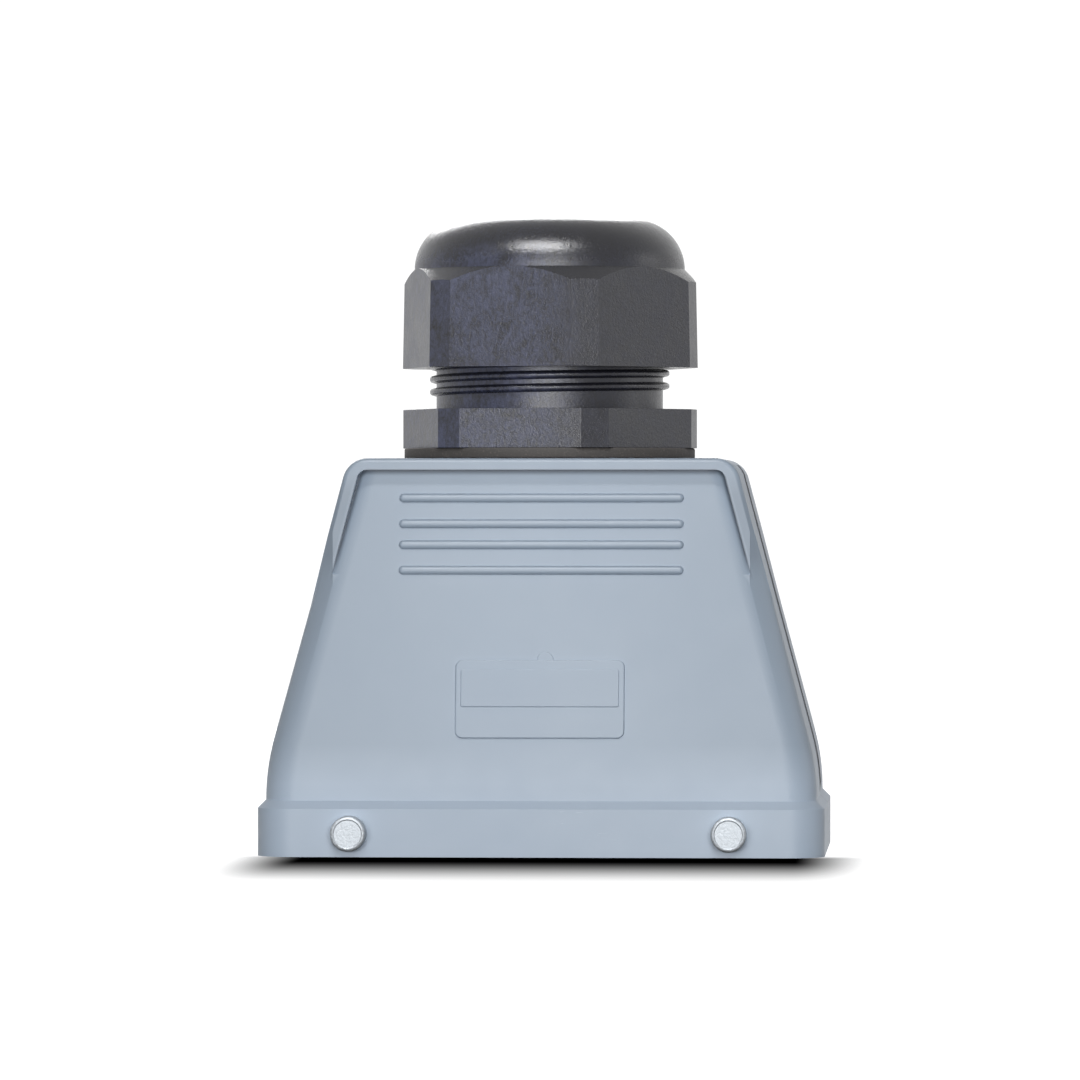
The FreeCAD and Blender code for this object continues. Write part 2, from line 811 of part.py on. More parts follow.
def repeated(body, name, cut):
    # Repeats a cut along the row, once for each contact of the row.
    pattern = body.newObject("PartDesign::LinearPattern", name)
    pattern.Originals = [cut]
    pattern.Direction = ([f for f in body.Origin.OriginFeatures if f.Role == "X_Axis"][0], [""])
    bind(pattern, "Length", first_contact * 2)
    bind(pattern, "Occurrences", size("contact_count"))
    body.Tip = pattern
    doc.recompute()
    return pattern


def make_insert(name, centre_y):
    # The moulded insulator: terminal block, fixing ears, and the shroud round the pins.
    insert = new_body(name)
    ear_x = flange_half_length - size("ear_inset")
    block_x = flange_half_length - size("block_inset")
    ears = sketch_on(insert, name + "_ear_outline", "XY_Plane", ear_bottom)
    rectangle(ears, -ear_x, ear_x, -insert_half_width, insert_half_width)
    pad(insert, name + "_ears", ears, size("insert_ear_thickness"))
    block = sketch_on(insert, name + "_block_outline", "XY_Plane", ear_bottom)
    rectangle(block, -block_x, block_x, -insert_half_width, insert_half_width)
    pad(insert, name + "_block", block, block_top - ear_bottom)

    shroud_x = shroud_half_length
    shroud_y = insert_half_width - size("shroud_edge")
    outer = sketch_on(insert, name + "_shroud_outline", "XY_Plane", shroud_bottom)
    rectangle(outer, -shroud_x, shroud_x, -shroud_y, shroud_y)
    shroud = pad(insert, name + "_shroud", outer, size("shroud_depth") + overrun)
    fillet(insert, name + "_shroud_corners", shroud,
           lambda p: near(abs(p.x), shroud_x) and near(abs(p.y), shroud_y) and p.z < ear_bottom.value,
           size("shroud_corner_radius"))
    wall = size("shroud_wall")
    inner = sketch_on(insert, name + "_mouth_outline", "XY_Plane", shroud_bottom)
    rectangle(inner, wall - shroud_x, shroud_x - wall, wall - shroud_y, shroud_y - wall)
    pocket(insert, name + "_mouth", inner, size("cavity_depth"), backwards=True)
    fillet(insert, name + "_mouth_corners", insert.Tip,
           lambda p: near(abs(p.x), shroud_x - wall) and near(abs(p.y), shroud_y - wall),
           size("shroud_corner_radius") - wall)

    ear_holes = sketch_on(insert, name + "_ear_holes_outline", "XY_Plane", ear_bottom)
    for x_side in (-1, 1):
        for y_side in (-1, 1):
            many_sided(ear_holes, fixing_x * x_side, fixing_y * y_side, size("fixing_hole_radius"))
        many_sided(ear_holes, earth_screw_x * x_side, 0,
                   size("earth_shank_radius") + size("running_clearance"))
    pocket(insert, name + "_ear_holes", ear_holes, backwards=True)

    chambers = sketch_on(insert, name + "_chamber_outline", "XY_Plane", block_top)
    for side in (-1, 1):
        rectangle(chambers, -first_contact - chamber_half, -first_contact + chamber_half,
                  size("chamber_inner") * side, chamber_outer * side)
    cut = pocket(insert, name + "_chambers", chambers, block_top - chamber_floor)
    repeated(insert, name + "_chamber_rows", cut)

    windows = sketch_on(insert, name + "_pin_window_outline", "XY_Plane", cavity_floor)
    half = size("contact_radius") + size("fit_clearance")
    for side in (-1, 1):
        row = size("contact_row") * side
        rectangle(windows, -first_contact - half, -first_contact + half, row - half, row + half)
    cut = pocket(insert, name + "_pin_windows", windows, chamber_floor - cavity_floor + overrun,
                 backwards=True)
    repeated(insert, name + "_pin_window_rows", cut)

    pockets = sketch_on(insert, name + "_screw_pocket_outline", "XY_Plane", ear_bottom)
    half = size("screw_pocket_side") / 2
    for side in (-1, 1):
        row = (insert_half_width - size("screw_pocket_edge")) * side
        rectangle(pockets, -first_contact - half, -first_contact + half, row - half, row + half)
    cut = pocket(insert, name + "_screw_pockets", pockets, size("screw_pocket_depth"), backwards=True)
    repeated(insert, name + "_screw_pocket_rows", cut)
    bind(insert, "Placement.Base.y", centre_y)
    keep(name, insert)


def make_contacts(name, centre_y, row_side):
    # One row of contacts: pins, each in one piece with the terminal it stands on.
    contacts = []
    tip = shroud_bottom + size("contact_recess")
    gap = size("fit_clearance")
    inner = centre_y + size("chamber_inner") * row_side + gap * row_side
    outer = centre_y + chamber_outer * row_side - gap * row_side
    low, high = (inner, outer) if row_side > 0 else (outer, inner)
    half = chamber_half - gap
    for number in range(int(sheet.get("contact_count"))):
        x = contact_pitch * number - first_contact
        pin = prism("pin", size("small_sides"), size("contact_radius"), chamber_floor - tip + overrun,
                    (x, centre_y + size("contact_row") * row_side, tip))
        terminal = box("terminal", (x - half, low, chamber_floor),
                       (x + half, high, chamber_floor + size("terminal_height")))
        contacts.append(joined("contact", [pin, terminal]))
    group = doc.addObject("Part::Compound", name)
    group.Links = contacts
    keep(name, group)


def make_earth_contact(name, centre_y, x_side):
    # An angled plate at each end of an insert: flat under the ear, with a tab down the shroud.
    half = size("earth_plate_width") / 2
    thickness = size("earth_plate_thickness")
    start = shroud_half_length
    end = flange_half_length - size("earth_plate_inset")
    tab_end = start + thickness
    flat_low, flat_high = (start, end) if x_side > 0 else (-end, -start)
    tab_low, tab_high = (start, tab_end) if x_side > 0 else (-tab_end, -start)
    flat = box("earth_flat", (flat_low, centre_y - half, ear_bottom - thickness),
               (flat_high, centre_y + half, ear_bottom))
    tab = box("earth_tab", (tab_low, centre_y - half, ear_bottom - size("earth_tab_height")),
              (tab_high, centre_y + half, ear_bottom))
    hole_bottom = ear_bottom - thickness - overrun
    hole = prism("earth_hole", size("small_sides"), size("earth_shank_radius") + size("running_clearance"),
                 thickness + overrun * 2,
                 (earth_screw_x * x_side, centre_y, hole_bottom))
    keep(name, cut_from(name, joined("earth_plate", [flat, tab]), hole))


def make_screw(name, x, y, seat, kind):
    # A slotted cheese-head screw that is driven upwards, its head below the seat.
    head = size(kind + "_head_height")
    radius = size(kind + "_head_radius")
    head_piece = prism("screw_head", size("head_sides"), radius, head, (x, y, seat - head))
    shank = prism("screw_shank", size("small_sides"), size(kind + "_shank_radius"),
                  size(kind + "_shank_length") + overrun, (x, y, seat - overrun))
    half = size("screw_slot_width") / 2
    slot = box("screw_slot", (x - radius - overrun, y - half, seat - head - overrun),
               (x + radius + overrun, y + half, seat - head + size("screw_slot_depth")))
    keep(name, cut_from(name, joined("screw_blank", [head_piece, shank]), slot))


def make_inserts():
    for name, side, pins in (("front", -1, ("1_to_12", "13_to_24")), ("rear", 1, ("25_to_36", "37_to_48"))):
        centre_y = insert_centre * side
        make_insert(name + "_pin_insert", centre_y)
        make_contacts("contact_pins_" + pins[0], centre_y, -1)
        make_contacts("contact_pins_" + pins[1], centre_y, 1)
        for end, x_side in (("left", -1), ("right", 1)):
            make_earth_contact("earth_contact_%s_%s" % (name, end), centre_y, x_side)
            make_screw("earth_screw_%s_%s" % (name, end), earth_screw_x * x_side, centre_y,
                       ear_bottom - size("earth_plate_thickness"), "earth")
    for insert_side, x_side, y_side, x, y in fixing_places():
        row = {(-1, -1): "front_outer", (-1, 1): "front_inner", (1, -1): "rear_inner", (1, 1): "rear_outer"}
        make_screw("fixing_screw_%s_%s" % (row[insert_side, y_side], "left" if x_side < 0 else "right"),
                   x, y, ear_bottom, "fixing")


make_hood()
make_pegs()
make_washer()
make_gland_body()
make_dome_nut()
make_cage()
make_seal()
make_inserts()
doc.recompute()

for thing in doc.Objects:
    if "Invalid" in thing.State or "Error" in thing.State:
        raise ValueError("%s failed: %s" % (thing.Name, thing.State))
for sub_part in sub_parts:
    if sub_part.Shape.isNull() or not sub_part.Shape.isValid() or not sub_part.Shape.Solids:
        raise ValueError("%s has no valid solid" % sub_part.Label)

os.makedirs("parts", exist_ok=True)
for sub_part in sub_parts:
    sub_part.Shape.exportStep("parts/%s.step" % sub_part.Label)
    bounds = sub_part.Shape.BoundBox
    print("%-28s %d solids  X %7.2f %7.2f  Y %7.2f %7.2f  Z %7.2f %7.2f" % (
        sub_part.Label, len(sub_part.Shape.Solids), bounds.XMin, bounds.XMax,
        bounds.YMin, bounds.YMax, bounds.ZMin, bounds.ZMax))
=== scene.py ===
import math

import bmesh
import bpy
from mathutils import Matrix, Vector


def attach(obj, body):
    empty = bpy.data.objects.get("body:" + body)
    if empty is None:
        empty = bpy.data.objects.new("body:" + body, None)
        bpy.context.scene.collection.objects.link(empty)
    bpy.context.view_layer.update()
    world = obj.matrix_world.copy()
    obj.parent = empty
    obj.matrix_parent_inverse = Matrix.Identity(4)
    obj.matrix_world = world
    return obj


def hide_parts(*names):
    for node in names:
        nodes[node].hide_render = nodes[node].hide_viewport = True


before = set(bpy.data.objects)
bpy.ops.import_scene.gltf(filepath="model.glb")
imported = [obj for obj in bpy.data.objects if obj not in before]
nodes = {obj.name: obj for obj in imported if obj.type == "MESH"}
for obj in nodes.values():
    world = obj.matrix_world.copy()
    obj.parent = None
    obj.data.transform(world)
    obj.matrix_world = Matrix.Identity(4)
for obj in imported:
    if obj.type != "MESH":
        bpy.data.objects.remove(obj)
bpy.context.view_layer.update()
mm = 0.001  # the sizes below are in millimetres
weldWithin = 1e-6  # metres: points of a new shape that lie closer are one
overrun = 1.0  # how far a cutting block reaches past what it cuts
print("frame loaded:", len(nodes), "nodes")


# shader maths as plain expressions

class Signal:
    # wraps a node's socket, so that sums and products on it add Math nodes

    def __init__(self, bench, socket):
        self.bench = bench
        self.socket = socket

    def maths(self, operation, *values):
        return self.bench.node("ShaderNodeMath", {"operation": operation}, dict(enumerate(values)))

    def __add__(self, other):
        return self.maths("ADD", self, other)

    def __radd__(self, other):
        return self.maths("ADD", other, self)

    def __sub__(self, other):
        return self.maths("SUBTRACT", self, other)

    def __rsub__(self, other):
        return self.maths("SUBTRACT", other, self)

    def __mul__(self, other):
        return self.maths("MULTIPLY", self, other)

    def __rmul__(self, other):
        return self.maths("MULTIPLY", other, self)

    def size(self):
        return self.maths("ABSOLUTE", self)

    def root(self):
        return self.maths("SQRT", self)

    def orMore(self, least):
        return self.maths("MAXIMUM", self, least)


class Bench:
    # one material under construction, with its shader and its object coordinates

    def __init__(self, name, **settings):
        self.material = bpy.data.materials.new(name)
        self.material.use_nodes = True
        self.tree = self.material.node_tree
        self.shader = self.tree.nodes["Principled BSDF"]
        for socketName, value in settings.items():
            self.shader.inputs[socketName.replace("_", " ")].default_value = value
        self.place = self.node("ShaderNodeTexCoord", {}, {}, "Object")

    def node(self, kind, settings, values, output=0):
        # a node with its settings first, then the values or links of its sockets
        made = self.tree.nodes.new(kind)
        for key, value in settings.items():
            setattr(made, key, value)
        for key, value in values.items():
            if isinstance(value, Signal):
                self.tree.links.new(value.socket, made.inputs[key])
            else:
                made.inputs[key].default_value = value
        return Signal(self, made.outputs[output])

    def feed(self, socketName, signal):
        self.tree.links.new(signal.socket, self.shader.inputs[socketName])

    def noise(self, scale, detail=3.0, roughness=0.5, stretch=None, distortion=0.0):
        place = self.place
        if stretch:
            place = self.node("ShaderNodeMapping", {}, {"Vector": place, "Scale": stretch})
        values = {"Vector": place, "Scale": scale, "Detail": detail, "Roughness": roughness,
                  "Distortion": distortion}
        return self.node("ShaderNodeTexNoise", {}, values, "Fac")

    def ramp(self, signal, low, high, kind="LINEAR"):
        # 0 below low, 1 above high
        return self.node("ShaderNodeMapRange", {"clamp": True, "interpolation_type": kind},
                         {"Value": signal, "From Min": low, "From Max": high})

    def easedRamp(self, signal, low, high):
        # the same with soft ends
        return self.ramp(signal, low, high, "SMOOTHSTEP")

    def blend(self, factor, first, second):
        # on colours, the node's inputs are numbers 0, 6 and 7 and its result is number 2
        return self.node("ShaderNodeMix", {"data_type": "RGBA"}, {0: factor, 6: first, 7: second}, 2)

    def parts(self, vector):
        split = self.node("ShaderNodeSeparateXYZ", {}, {"Vector": vector}).socket.node
        return [Signal(self, output) for output in split.outputs]

    def axes(self):
        # x, y and z of a point on the surface, in metres
        return self.parts(self.place)

    def facing(self):
        # x, y and z of the way the surface points
        return self.parts(self.node("ShaderNodeNewGeometry", {}, {}, "Normal"))

    def spot(self, centre, radius, softness=0.5):
        # 1 inside a small ball round a point, fading out at its edge
        gap = self.node("ShaderNodeVectorMath", {"operation": "DISTANCE"}, {0: self.place, 1: centre},
                        "Value")
        return 1 - self.ramp(gap, radius * (1 - softness), radius)

    def bump(self, height, strength):
        # the height is in metres
        values = {"Height": height, "Distance": 1.0, "Strength": strength}
        self.feed("Normal", self.node("ShaderNodeBump", {}, values, "Normal"))


def grey(level):
    return (level, level, level, 1.0)


def inMetres(lengths):
    return [length * mm for length in lengths]


# mesh helpers

def arcPoints(centre, radius, start, end, steps):
    # points of a round stretch about a centre, angles in degrees
    points = []
    for step in range(steps + 1):
        angle = math.radians(start + (end - start) * step / steps)
        points.append((centre[0] + radius * math.cos(angle), centre[1] + radius * math.sin(angle)))
    return points


def turned(profile, steps, closed=True):
    # a bmesh turned about Z from a profile of (distance from the axis, height)
    bm = bmesh.new()
    verts = [bm.verts.new((x * mm, 0.0, z * mm)) for x, z in profile]
    edges = [bm.edges.new(pair) for pair in zip(verts, verts[1:])]
    if closed:
        edges.append(bm.edges.new((verts[-1], verts[0])))
    bmesh.ops.spin(bm, geom=verts + edges, axis=(0, 0, 1), cent=(0, 0, 0), angle=math.tau,
                   steps=steps, use_merge=True)
    bmesh.ops.remove_doubles(bm, verts=bm.verts, dist=weldWithin)
    bmesh.ops.recalc_face_normals(bm, faces=bm.faces)
    return bm


def cornersOf(geometry):
    return [item for item in geometry if isinstance(item, bmesh.types.BMVert)]


def extruded(bm, base, offset):
    # draws a face out to a closed block and returns the corners of its far end
    moved = cornersOf(bmesh.ops.extrude_face_region(bm, geom=[base])["geom"])
    bmesh.ops.translate(bm, verts=moved, vec=Vector(offset) * mm)
    bmesh.ops.recalc_face_normals(bm, faces=bm.faces)
    return moved


def flattedHexagon(flatRadius, flatHalf, low, high, draft):
    # a hexagonal prism whose corners are cut off, narrowing upwards by its draft
    bm = bmesh.new()
    ends = [bm.verts.new((side * flatHalf * mm, -flatRadius * mm, low * mm)) for side in (-1, 1)]
    edge = bm.edges.new(ends)
    for turn in range(1, 6):
        copied = bmesh.ops.duplicate(bm, geom=ends + [edge])["geom"]
        bmesh.ops.rotate(bm, verts=cornersOf(copied), cent=(0, 0, 0),
                         matrix=Matrix.Rotation(turn * math.tau / 6, 3, "Z"))
    around = sorted(bm.verts, key=lambda v: math.atan2(v.co.y, v.co.x))
    top = extruded(bm, bm.faces.new(around), (0, 0, high - low))
    shrink = 1 - math.tan(math.radians(draft)) * (high - low) / flatRadius
    bmesh.ops.scale(bm, verts=top, vec=(shrink, shrink, 1))
    return bm


def asObject(bm, name):
    mesh = bpy.data.meshes.new(name)
    bm.to_mesh(mesh)
    bm.free()
    made = bpy.data.objects.new(name, mesh)
    bpy.context.scene.collection.objects.link(made)
    return made


def box(name, size, centre):
    bm = bmesh.new()
    bmesh.ops.create_cube(bm, size=1)
    bmesh.ops.scale(bm, verts=bm.verts, vec=Vector(size) * mm)
    bmesh.ops.translate(bm, verts=bm.verts, vec=Vector(centre) * mm)
    return asObject(bm, name)


def applied(thing):
    # turns the result of an object's modifiers into its own mesh
    shaped = bpy.data.meshes.new_from_object(thing.evaluated_get(bpy.context.evaluated_depsgraph_get()))
    thing.modifiers.clear()
    thing.data = shaped
    return thing


def combined(thing, tool, operation):
    cut = thing.modifiers.new("combine", "BOOLEAN")
    cut.operation = operation
    cut.solver = "EXACT"
    cut.object = tool
    applied(thing)
    bpy.data.objects.remove(tool)
    return thing


def softened(thing, width, segments=2, angle=20):
    # rounds the edges that are sharper than an angle in degrees
    edge = thing.modifiers.new("soft edges", "BEVEL")
    edge.width = width * mm
    edge.segments = segments
    edge.limit_method = "ANGLE"
    edge.angle_limit = math.radians(angle)
    return applied(thing)


def evenlyShaded(thing):
    # large flat faces rule the shading of the soft edges beside them
    even = thing.modifiers.new("even faces", "WEIGHTED_NORMAL")
    even.keep_sharp = True
    even.weight = 100
    return thing


def placed(thing, material, body, stands=(), sharp=32):
    # shades, paints and hangs a finished piece on its body
    mesh = thing.data
    mesh.materials.clear()
    mesh.materials.append(material)
    mesh.shade_smooth()
    mesh.set_sharp_from_angle(angle=math.radians(sharp))
    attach(thing, body)
    if stands:
        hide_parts(*stands)
    return thing


def movedBy(thing, x, y, z):
    thing.data.transform(Matrix.Translation(Vector((x, y, z)) * mm))
    return thing


def turnedBy(thing, degrees, axis="Z"):
    thing.data.transform(Matrix.Rotation(math.radians(degrees), 4, axis))
    return thing


def repeatedAt(thing, places):
    # one mesh that holds a copy of a piece at every place
    bm = bmesh.new()
    for place in places:
        start = len(bm.verts)
        bm.from_mesh(thing.data)
        bm.verts.ensure_lookup_table()
        bmesh.ops.translate(bm, verts=bm.verts[start:], vec=Vector(place) * mm)
    bm.to_mesh(thing.data)
    bm.free()
    return thing


copying = {"weld": 0.01, "flatWithin": 0.4, "angle": 30}


def copiedFrom(nodeName, softness=0.0):
    # a node's own form with its flat faces made whole and, where asked, its edges rounded
    bm = bmesh.new()
    bm.from_mesh(nodes[nodeName].data)
    bmesh.ops.remove_doubles(bm, verts=bm.verts, dist=copying["weld"] * mm)
    bmesh.ops.dissolve_limit(bm, angle_limit=math.radians(copying["flatWithin"]), verts=bm.verts,
                             edges=bm.edges)
    copied = asObject(bm, nodeName + "_dressed")
    return softened(copied, softness, angle=copying["angle"]) if softness else copied


# finishes of the small pieces

polyamide = {
    "dark": (0.010, 0.010, 0.014, 1),
    # the flow marks' pale blue, partly a painted reflection on the left-hand flats
    "pale": (0.080, 0.092, 0.165, 1),
    "shine": 0.25,
    "threadShine": 0.21,
    "sheenClearsFrom": (-2, 10),
}

rubber = {
    "washerDark": (0.030, 0.026, 0.024, 1),
    "washerPale": (0.085, 0.072, 0.064, 1),
    "sealDark": (0.018, 0.018, 0.019, 1),
    "sealPale": (0.032, 0.032, 0.033, 1),
}

zinc = {
    # tint, lowest roughness, how much the spangle adds to it, metallic share, fineness of the spangle
    "brightZinc": ((0.46, 0.495, 0.53, 1), 0.36, 0.25, 0.45, 1300),
    "earthZinc": ((0.74, 0.73, 0.70, 1), 0.30, 0.30, 1.0, 520),
    "screwZinc": ((0.70, 0.70, 0.69, 1), 0.26, 0.20, 1.0, 520),
}

contact = {"silver": (0.80, 0.76, 0.68, 1), "brass": (0.62, 0.52, 0.36, 1)}

plastic = {"dark": (0.50, 0.50, 0.475, 1), "pale": (0.56, 0.56, 0.535, 1)}


def blackPolyamide(name, shine):
    # glass-filled moulding: nearly black, with cloudy flow marks mostly on its left and on its upright
    # faces, whose pale blue there is partly a painted reflection, and a fine grain
    moulding = Bench(name, IOR=1.45)
    x = moulding.axes()[0]
    cloud = moulding.noise(95, detail=5, roughness=0.65, distortion=1.2)
    streak = moulding.noise(800, detail=4, roughness=0.75, stretch=(1.0, 1.0, 0.6), distortion=0.8)
    grain = moulding.noise(2600, detail=2, roughness=0.6)
    sparkle = moulding.noise(1500, detail=3, roughness=0.75)
    patches = moulding.easedRamp(cloud, 0.36, 0.66)
    upwards = moulding.facing()[2]
    # painted reflection: the pale marks are kept to the left and off the upward faces
    left = 1 - moulding.ramp(x, *inMetres(polyamide["sheenClearsFrom"])) * 0.85
    upright = 1 - moulding.ramp(upwards, 0.15, 0.5) * 0.8
    marks = moulding.ramp(streak, 0.40, 0.70) * 0.55 + patches * 0.25
    marks = marks + moulding.ramp(sparkle, 0.5, 0.7) * 0.2
    colour = moulding.blend(marks * left * upright, polyamide["dark"], polyamide["pale"])
    moulding.feed("Base Color", colour)
    polish = moulding.ramp(upwards, 0.05, 0.3)
    moulding.feed("Roughness", shine - polish * 0.09 + patches * 0.06 + grain * 0.08)
    moulding.bump(grain * 0.00004 + sparkle * 0.00016 + streak * 0.00005, 0.5)
    return moulding.material


def washerRubber():
    sheet = Bench("washerRubber", Roughness=0.75)
    fibre = sheet.noise(1800, roughness=0.7)
    colour = sheet.blend(sheet.ramp(fibre, 0.55, 0.75), rubber["washerDark"], rubber["washerPale"])
    sheet.feed("Base Color", colour)
    sheet.bump(fibre * 0.00006, 0.6)
    return sheet.material


def sealRubber():
    sleeve = Bench("sealRubber", IOR=1.5)
    grain = sleeve.noise(700, detail=4, roughness=0.6)
    sleeve.feed("Base Color", sleeve.blend(grain, rubber["sealDark"], rubber["sealPale"]))
    sleeve.feed("Roughness", 0.55 + grain * 0.2)
    sleeve.bump(grain * 0.00004, 0.4)
    return sleeve.material


def zincSteel(name):
    # zinc plate: a fine cloudy spangle that scatters the light
    tint, base, mottle, metallic, fineness = zinc[name]
    plate = Bench(name, Metallic=metallic)
    cloud = plate.noise(fineness, detail=4, roughness=0.7)
    fine = plate.noise(2400, roughness=0.7)
    spangle = plate.ramp(cloud * 0.55 + fine * 0.45, 0.40, 0.60)
    dull = tuple(channel * 0.62 for channel in tint[:3]) + (1.0,)
    plate.feed("Base Color", plate.blend(spangle, dull, tint))
    plate.feed("Roughness", base + spangle * mottle)
    plate.bump(spangle * 0.00005, 0.5)
    return plate.material


def insertPlastic():
    moulding = Bench("insertPlastic", IOR=1.5)
    broad = moulding.noise(45)
    grain = moulding.noise(1500, detail=2)
    moulding.feed("Base Color", moulding.blend(broad, plastic["dark"], plastic["pale"]))
    moulding.feed("Roughness", 0.42 + grain * 0.12)
    moulding.bump(grain * 0.00002, 0.4)
    return moulding.material


def silveredBrass():
    metal = Bench("silveredBrass", Metallic=1.0)
    stain = metal.noise(240, detail=4, roughness=0.65)
    colour = metal.blend(metal.ramp(stain, 0.45, 0.75), contact["silver"], contact["brass"])
    metal.feed("Base Color", colour)
    metal.feed("Roughness", 0.20 + stain * 0.18)
    return metal.material


mouldingFinish = blackPolyamide("blackPolyamide", polyamide["shine"])
threadFinish = blackPolyamide("threadPolyamide", polyamide["threadShine"])
washerFinish = washerRubber()
sealFinish = sealRubber()
pegFinish = zincSteel("brightZinc")
sheetFinish = zincSteel("earthZinc")
screwFinish = zincSteel("screwZinc")
plasticFinish = insertPlastic()
contactFinish = silveredBrass()
print("finishes made")


# the hood

hood = {
    "smoothAngle": 32,
    "edge": 0.45,
    "bendHeight": 20.4,
    "halfDepth": 43.15,
    "panelLean": 0.1491,
    "ribRadius": 1.05,
    "ribEnd": 32.15,
    "ribHeights": (83.2, 77.2, 72.3, 66.4),
    "ribEndSides": 20,
    "roof": 92.5,
    "sideHalf": 64.15,
    "sideLean": 0.2649,
    "roofEndRadius": 6.0,
    "roofEndSkin": 0.05,
    "roofEndSteps": 16,
    "strapWidth": 3.4,
    "strapTop": 2.8,
    "strapRadius": 2.0,
    "seamHalf": 0.35,
    "seamRise": 0.32,
    "seamFoot": 13.5,
    "seamBeyond": 43.0,
    "seamFacing": 0.6,
}

paintLook = {
    "dark": (0.356, 0.430, 0.526, 1),
    "light": (0.380, 0.452, 0.542, 1),
    "rubbed": (0.62, 0.68, 0.74, 1),
    "speck": (0.10, 0.11, 0.12, 1),
    "speckPlace": (25.6, -40.4, 24.5),
    "speckRadius": 0.6,
    # painted shade towards the panels' sides
    "flankShade": (0.20, 0.25, 0.31, 1),
    "flankAcross": (4, 56),
    "flankFoot": (17, 26),
    # painted shade in the crease beside the strap and on the strap's legs
    "strapShade": (0.10, 0.12, 0.15, 1),
    "strapShadeInside": (0.1, 1.3),
    "strapShadeOutside": (-0.3, -0.1),
    "strapFoot": (64, 70),
    "legStart": (0.2, 0.8),
    "legTop": (84, 90),
    "seam": (0.09, 0.09, 0.10, 1),
    "seamEdge": (0.3, 0.4),
}


def hoodPaint():
    # satin powder paint over a casting: slight orange peel, rub marks, painted shade on the panels'
    # sides, in a crease and on the strap's legs, a mould line
    look = paintLook
    paint = Bench("hoodPaint", IOR=1.45)
    x, y, z = paint.axes()
    facingX, facingY = paint.facing()[:2]
    tone = paint.ramp(paint.noise(28, detail=4, roughness=0.6), 0.3, 0.7)
    colour = paint.blend(tone, look["dark"], look["light"])
    scuffs = paint.noise(420, detail=2, stretch=(1.0, 1.0, 5.0), distortion=1.5)
    patches = paint.ramp(paint.noise(60, roughness=0.6), 0.55, 0.72)
    marks = paint.ramp(scuffs, 0.69, 0.74) * patches
    colour = paint.blend(marks * 0.35, colour, look["rubbed"])
    speck = paint.spot(inMetres(look["speckPlace"]), look["speckRadius"] * mm)
    colour = paint.blend(speck * 0.7, colour, look["speck"])
    # painted shade: the panels darken towards their sides, above the shoulder
    paintedFlankShade = paint.easedRamp(x.size(), *inMetres(look["flankAcross"])) * 0.22 + 0.24
    paintedFlankShade = paintedFlankShade * paint.ramp(z, *inMetres(look["flankFoot"]))
    colour = paint.blend(paintedFlankShade, colour, look["flankShade"])
    # painted shade: a dark line in the crease along the strap's inner edge, and the strap's legs a little
    # darker
    inside = (sideAt(0) - hood["strapWidth"]) * mm - z * hood["sideLean"] - x.size()
    below = (hood["roof"] - hood["strapTop"]) * mm - z
    radius = hood["strapRadius"] * mm
    across = (radius - inside).orMore(0.0)
    down = (radius - below).orMore(0.0)
    crease = radius - (across * across + down * down).root()
    onFaces = paint.ramp(facingY.size(), 0.5, 0.7) * paint.ramp(z, *inMetres(look["strapFoot"]))
    strapShade = 1 - paint.easedRamp(crease, *inMetres(look["strapShadeInside"]))
    strapShade = strapShade * paint.ramp(crease, *inMetres(look["strapShadeOutside"])) * onFaces
    legShade = paint.ramp(inside * -1, *inMetres(look["legStart"]))
    legShade = legShade * (1 - paint.ramp(z, *inMetres(look["legTop"]))) * onFaces
    colour = paint.blend(strapShade * 0.8 + legShade * 0.3, colour, look["strapShade"])
    # the mould line down both short sides is dark
    seam = (1 - paint.ramp(y.size(), *inMetres(look["seamEdge"]))) * paint.ramp(facingX.size(), 0.3, 0.5)
    colour = paint.blend(seam * 0.8, colour, look["seam"])
    paint.feed("Base Color", colour)
    paint.feed("Roughness", 0.40 + paint.noise(160, roughness=0.6) * 0.12 + marks * 0.1)
    peel = paint.noise(900, detail=2) * 0.4 + paint.noise(240, detail=2) * 0.6
    paint.bump(peel * 0.00004 - seam * 0.00015, 0.5)
    return paint.material


def panelAt(height):
    # half the depth between the front and rear panels
    return hood["halfDepth"] - hood["panelLean"] * (height - hood["bendHeight"])


def sideAt(height):
    # half the length between the tapered sides
    return hood["sideHalf"] - hood["sideLean"] * (height - hood["bendHeight"])


def roofEndsRounded(thing):
    # trims the roof's short edges to the round of the strap's corners
    radius, skin = hood["roofEndRadius"], hood["roofEndSkin"]
    lean = math.atan(hood["sideLean"])
    height = hood["roof"] - radius
    centre = (sideAt(height) - radius / math.cos(lean) + skin, height + skin)
    corner = arcPoints(centre, radius, math.degrees(lean), 90, hood["roofEndSteps"])
    wide, low, high, halfDepth = 100, -5, 100, 60  # a block that reaches past the hood elsewhere
    half = [(wide, low), (wide, corner[0][1])] + corner + [(corner[-1][0], high)]
    outline = half + [(-x, z) for x, z in reversed(half)]
    bm = bmesh.new()
    base = bm.faces.new([bm.verts.new((x * mm, -halfDepth * mm, z * mm)) for x, z in outline])
    extruded(bm, base, (0, halfDepth * 2, 0))
    return combined(thing, asObject(bm, "roofBlock"), "INTERSECT")


